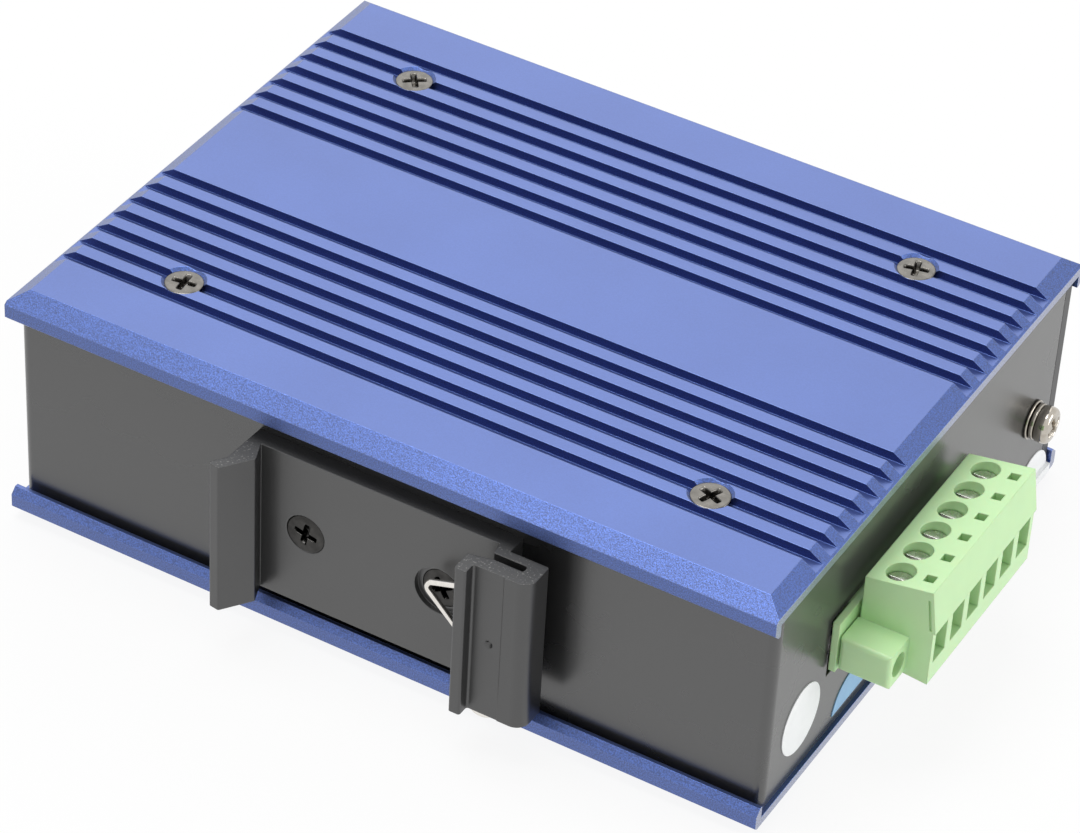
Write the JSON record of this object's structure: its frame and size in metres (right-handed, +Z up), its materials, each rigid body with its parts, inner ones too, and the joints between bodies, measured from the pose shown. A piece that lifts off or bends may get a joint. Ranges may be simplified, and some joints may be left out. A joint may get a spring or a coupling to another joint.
{
  "type": "din rail ethernet switch",
  "caption": "Compact rail-mount network switch with finned blue covers, folded black case, sprung rail clip, pluggable screw terminal and a row of network ports.",
  "frame": {"origin": "centre of the lower cover's outer face, on its middle land", "axes": "+X towards the short side with the terminal plug, -Y towards the rail clip, +Y towards the network ports, +Z up through the upper cover"},
  "size_m": [0.132, 0.1001, 0.0397],
  "materials": {
    "cover_blue": "blue anodised, satin",
    "case_black": "fine black satin powder coat on steel sheet",
    "panel_black": "black anodised, satin",
    "clip_black": "black anodised extrusion, sawn ends",
    "spring_steel": "bright spring wire",
    "screw_dark": "dark zinc plated",
    "screw_bright": "bright zinc or nickel plated",
    "pillar_brass": "nickel plated brass",
    "terminal_green": "green moulded plastic",
    "contact_tin": "tin plated",
    "contact_gold": "thin gold plate",
    "moulding_black": "black moulded plastic",
    "shield_tin": "tinned sheet",
    "board_green": "green solder mask on glass laminate",
    "part_black": "black moulded component bodies",
    "can_black": "sleeved can",
    "lamp_clear": "milky light pipe",
    "paper_white": "white paper label",
    "paper_blue": "light blue paper label"
  },
  "bodies": {
    "root": {"bottom_cover": "cover_blue", "top_cover": "cover_blue", "bottom_cover_screws": "screw_dark", "top_cover_screws": "screw_dark", "lower_pillars": "pillar_brass", "upper_pillars": "pillar_brass", "chassis": "case_black", "front_panel": "panel_black", "din_clip": "clip_black", "clip_spring": "spring_steel", "clip_screws": "screw_bright", "clip_nuts": "screw_bright", "circuit_board": "board_green", "terminal_header": "terminal_green", "header_pins": "contact_tin", "terminal_plug": "terminal_green", "plug_cages": "screw_bright", "plug_contacts": "contact_tin", "plug_clamp_screws": "screw_bright", "plug_flange_screws": "screw_bright", "header_nuts": "screw_bright", "port_housing": "moulding_black", "port_shield": "shield_tin", "port_contacts": "contact_gold", "indicator_lamps": "lamp_clear", "earth_screw": "screw_bright", "earth_washer": "screw_bright", "earth_spring_washer": "screw_bright", "earth_nut": "screw_bright", "round_seal": "paper_white", "cut_seal": "paper_blue", "bridge_seal": "paper_white", "line_filters": "part_black", "switch_chip": "part_black", "power_coil": "part_black", "alarm_relay": "part_black", "capacitors": "can_black"}
  },
  "joints": []
}
